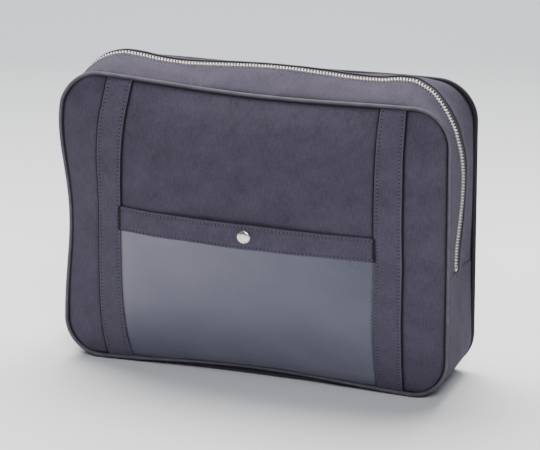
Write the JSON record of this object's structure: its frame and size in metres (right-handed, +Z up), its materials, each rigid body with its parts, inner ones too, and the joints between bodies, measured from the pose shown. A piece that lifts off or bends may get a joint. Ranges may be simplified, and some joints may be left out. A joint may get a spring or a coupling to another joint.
{
  "type": "cash deposit bag",
  "caption": "Flat-bottomed canvas cash deposit bag with piped edges, a zip over the top, front straps and a clear snap pocket.",
  "frame": {"origin": "middle of the bag's footprint, on the surface that it stands on", "axes": "+X to the right and along the bag's width, +Y from the front to the back, +Z up"},
  "size_m": [0.3845, 0.1634, 0.2981],
  "materials": {
    "canvas": "dark navy plain-weave canvas, matt",
    "webbing": "canvas strap, folded and edge stitched",
    "piping": "canvas-covered cord, slightly worn along its crown",
    "lining": "woven binding tape, matt",
    "tape": "black herringbone zip tape",
    "vinyl": "clear soft vinyl film, slightly hazy, glossy",
    "nickel": "bright nickel plate"
  },
  "bodies": {
    "root": {"front_panel": "canvas", "strap_left": "webbing", "strap_right": "webbing", "pocket_window": "vinyl", "snap_stud": "nickel", "snap_rivet": "nickel", "bottom_gusset": "canvas", "gusset_strip_front": "canvas", "gusset_fold_left": "canvas", "gusset_fold_right": "canvas", "front_piping": "piping", "back_panel_lower": "canvas", "back_panel_fold": "canvas", "back_piping_lower": "piping", "back_piping_fold_left": "piping", "back_piping_fold_right": "piping", "seam_binding_front": "lining", "seam_binding_back_lower": "lining", "zip_tape_front": "tape", "zip_teeth_front": "nickel", "zip_stop_right": "nickel", "zip_stop_left_front": "nickel", "zip_stop_left_back": "nickel"},
    "back_flap": {"back_panel_upper": "canvas", "gusset_strip_back": "canvas", "back_piping_upper": "piping", "seam_binding_back_upper": "lining", "zip_tape_back": "tape", "zip_teeth_back": "nickel"},
    "pocket_mouth": {"pocket_band": "webbing", "snap_cap": "nickel", "snap_socket": "nickel"},
    "slider": {"slider_body": "nickel", "slider_bridge": "nickel"},
    "pull": {"pull_tab": "nickel"}
  },
  "joints": [
    {"name": "mouth_open", "type": "hinge", "parent": "root", "child": "back_flap", "pos_m": [0, 0.0044, 0.113], "axis": [-1, 0, 0], "range_deg": [0, 45], "deforming": ["back_panel_fold", "back_piping_fold_left", "back_piping_fold_right", "gusset_fold_left", "gusset_fold_right"]},
    {"name": "pocket_open", "type": "slide", "parent": "root", "child": "pocket_mouth", "axis": [0, -1, 0], "range_m": [0, 0.012]},
    {"name": "zip_run", "type": "slide", "parent": "root", "child": "slider", "axis": [0, 0, 1], "range_m": [0, 0.085]},
    {"name": "pull_swing", "type": "hinge", "parent": "slider", "child": "pull", "pos_m": [-0.1838, 0.0044, 0.12275], "axis": [0, 1, 0], "range_deg": [0, 150]}
  ]
}
